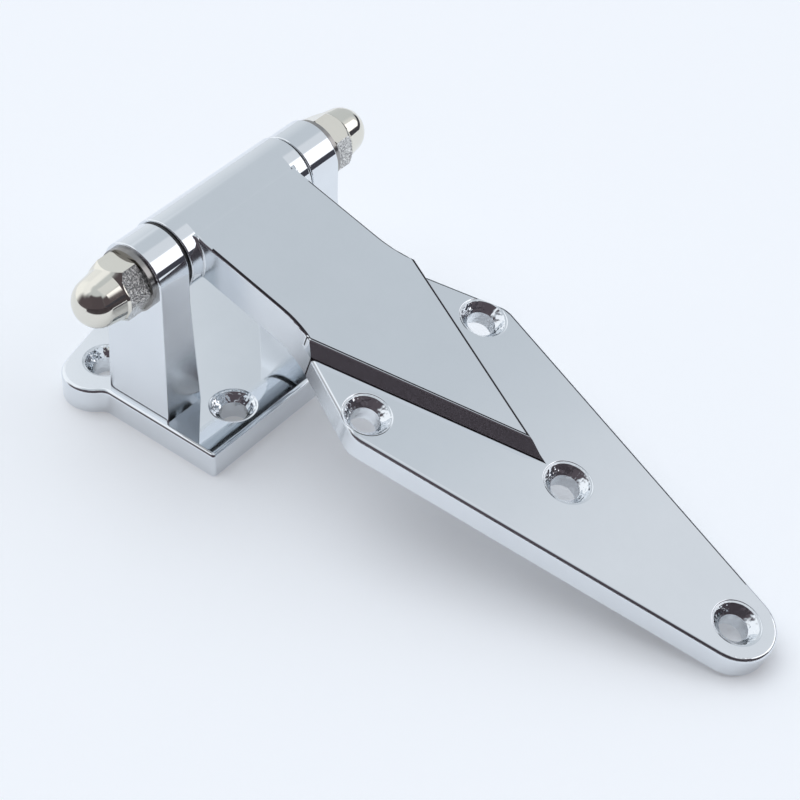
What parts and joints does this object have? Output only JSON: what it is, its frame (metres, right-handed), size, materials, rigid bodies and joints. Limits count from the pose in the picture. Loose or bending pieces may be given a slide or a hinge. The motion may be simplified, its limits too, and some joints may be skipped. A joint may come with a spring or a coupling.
{
  "type": "door hinge",
  "caption": "Raised surface hinge for a cold room door: a two-eared bracket and a long tapered strap that swings on a pin held by domed cap nuts.",
  "frame": {"origin": "on the bracket's mounting face, under the middle of the pin", "axes": "+X along the pin, +Y towards the bracket's two rounded screw lobes and away from the strap, +Z out of the mounting face towards the pin"},
  "size_m": [0.1216, 0.2356, 0.0685],
  "materials": {
    "casting": "polished chrome plating on a zinc alloy casting",
    "pin": "ground steel, slightly dark",
    "nut": "bright nickel plating with a warm tint",
    "washer": "plain steel with a dark edge",
    "bearing": "black nylon, moulded"
  },
  "bodies": {
    "bracket": {"base_bracket": "casting", "hinge_pin": "pin", "cap_nut_left": "nut", "cap_nut_right": "nut", "nut_washer_left": "washer", "nut_washer_right": "washer", "thrust_washer_left": "bearing", "thrust_washer_right": "bearing"},
    "strap": {"door_strap": "casting", "barrel_bush_left": "bearing", "barrel_bush_right": "bearing"}
  },
  "joints": [
    {"name": "door_swing", "type": "hinge", "parent": "bracket", "child": "strap", "pos_m": [0, 0, 0.057], "axis": [-1, 0, 0], "range_deg": [0, 195.81]}
  ]
}
